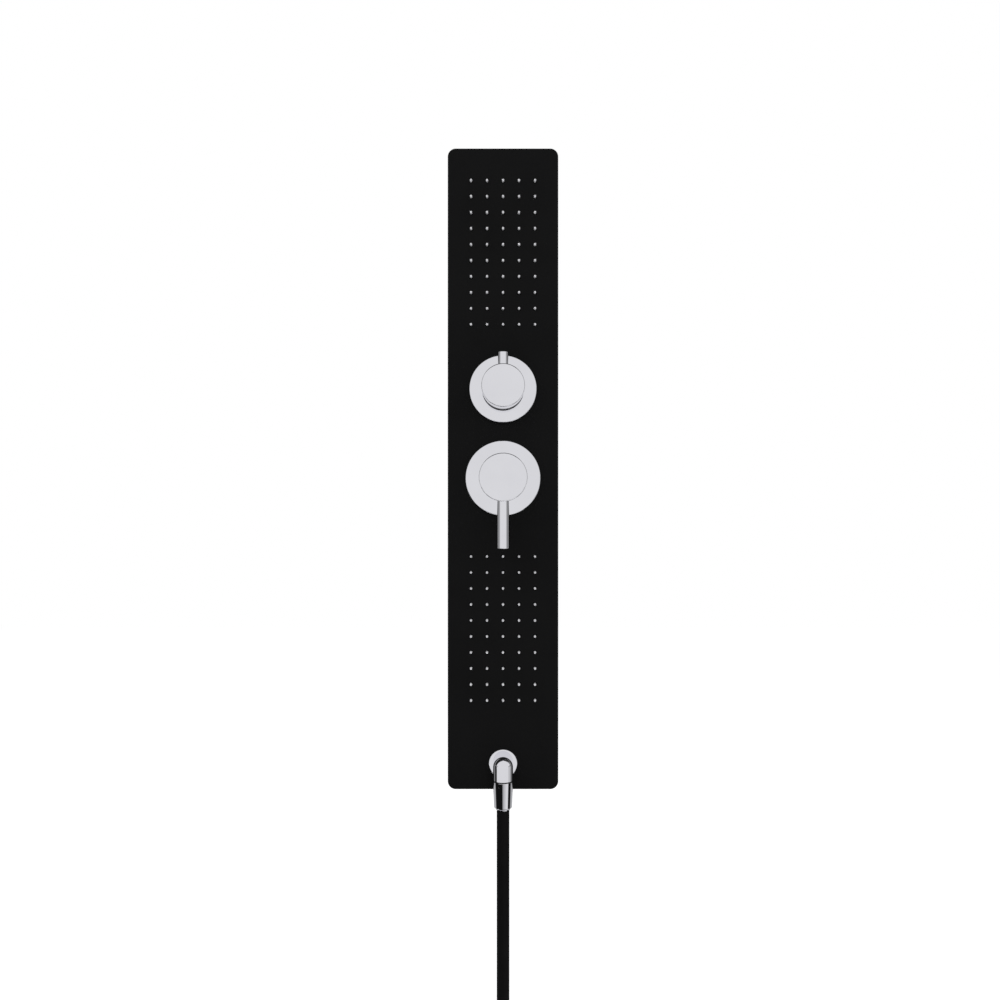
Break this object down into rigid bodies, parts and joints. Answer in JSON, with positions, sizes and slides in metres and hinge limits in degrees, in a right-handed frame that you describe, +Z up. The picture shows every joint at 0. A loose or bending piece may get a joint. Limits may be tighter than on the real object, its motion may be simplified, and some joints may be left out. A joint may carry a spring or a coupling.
{
  "type": "wall shower panel",
  "caption": "Narrow black wall shower panel with two fields of spray nozzles, a diverter knob, a single-lever mixer and a chrome outlet elbow with a hanging hose.",
  "frame": {"origin": "centre of the four wall bolt holes, on the wall plane", "axes": "+Z up along the panel, +Y into the wall, front faces -Y"},
  "size_m": [0.138, 0.117, 1.4526],
  "materials": {
    "panel_black": "fine satin black coat on folded sheet",
    "chrome": "polished chrome plate",
    "nozzle_silicone": "pale grey silicone",
    "raw_brass": "as machined",
    "chamber_plastic": "moulded grey plastic",
    "cartridge_plastic": "moulded natural plastic",
    "disc_ceramic": "lapped",
    "plain_steel": "zinc plated",
    "seal_rubber": "moulded black rubber",
    "hose_black": "smooth matt black skin",
    "tube_plastic": "extruded pale tube",
    "stop_plastic": "moulded black plastic",
    "tie_fabric": "woven hook-and-loop strap"
  },
  "bodies": {
    "panel_assembly": {"front_panel": "panel_black", "mixer_escutcheon": "chrome", "mixer_sleeve": "chrome", "diverter_escutcheon": "chrome", "outlet_flange": "chrome", "outlet_elbow": "chrome", "hose_nut": "chrome", "hose_end_nut": "chrome", "upper_nozzle_mat": "nozzle_silicone", "lower_nozzle_mat": "nozzle_silicone", "mixer_body": "raw_brass", "mixer_fixing_nut": "raw_brass", "mixer_cartridge_nut": "raw_brass", "diverter_body": "raw_brass", "diverter_fixing_nut": "raw_brass", "diverter_gland_nut": "raw_brass", "outlet_backnut": "raw_brass", "outlet_feed_elbow": "raw_brass", "hose_tail": "raw_brass", "hose_end_tail": "raw_brass", "upper_spray_chamber": "chamber_plastic", "lower_spray_chamber": "chamber_plastic", "mixer_cartridge_base": "cartridge_plastic", "mixer_cartridge_housing": "cartridge_plastic", "diverter_cartridge_housing": "cartridge_plastic", "mixer_fixed_disc": "disc_ceramic", "diverter_fixed_disc": "disc_ceramic", "upper_wall_bracket": "plain_steel", "lower_wall_bracket": "plain_steel", "hanger_rail": "plain_steel", "panel_lock_screws": "plain_steel", "clamp_studs": "plain_steel", "clamp_nuts": "plain_steel", "tube_clips": "plain_steel", "valve_gaskets": "seal_rubber", "valve_port_seals": "seal_rubber", "diverter_spindle_ring": "seal_rubber", "outlet_gasket": "seal_rubber", "hose_washer": "seal_rubber", "hose": "hose_black", "hose_hank": "hose_black", "mixed_water_pipe": "tube_plastic", "upper_feed_tube": "tube_plastic", "lower_feed_tube": "tube_plastic", "outlet_feed_tube": "tube_plastic", "hose_tie": "tie_fabric", "diverter_stop_ring": "stop_plastic"},
    "diverter_control": {"diverter_knob": "chrome", "diverter_pin": "chrome", "diverter_grub_screw": "plain_steel", "diverter_spindle": "raw_brass", "diverter_moving_disc": "disc_ceramic"},
    "mixer_turn_carrier": {"mixer_carrier": "cartridge_plastic", "mixer_stem_pin": "plain_steel"},
    "mixer_control": {"mixer_handle": "chrome", "mixer_lever": "chrome", "mixer_grub_screw": "plain_steel", "mixer_stem": "plain_steel"},
    "mixer_disc_slide": {"mixer_disc_holder": "cartridge_plastic", "mixer_moving_disc": "disc_ceramic"}
  },
  "joints": [
    {"name": "diverter_turn", "type": "hinge", "parent": "panel_assembly", "child": "diverter_control", "pos_m": [0, -0.086, 0.099], "axis": [0, -1, 0], "range_deg": [-90, 90]},
    {"name": "mixer_temperature", "type": "hinge", "parent": "panel_assembly", "child": "mixer_turn_carrier", "pos_m": [0, -0.063, -0.01175], "axis": [0, -1, 0], "range_deg": [-50, 50]},
    {"name": "mixer_flow", "type": "hinge", "parent": "mixer_turn_carrier", "child": "mixer_control", "pos_m": [0, -0.063, -0.01175], "axis": [-1, 0, 0], "range_deg": [0, 25]},
    {"name": "mixer_disc_travel", "type": "slide", "parent": "mixer_turn_carrier", "child": "mixer_disc_slide", "axis": [0, 0, -1], "range_m": [0, 0.0032]}
  ],
  "couplings": [
    {"joint": "mixer_disc_travel", "follows": "mixer_flow", "m_per_rad": 0.0073}
  ]
}
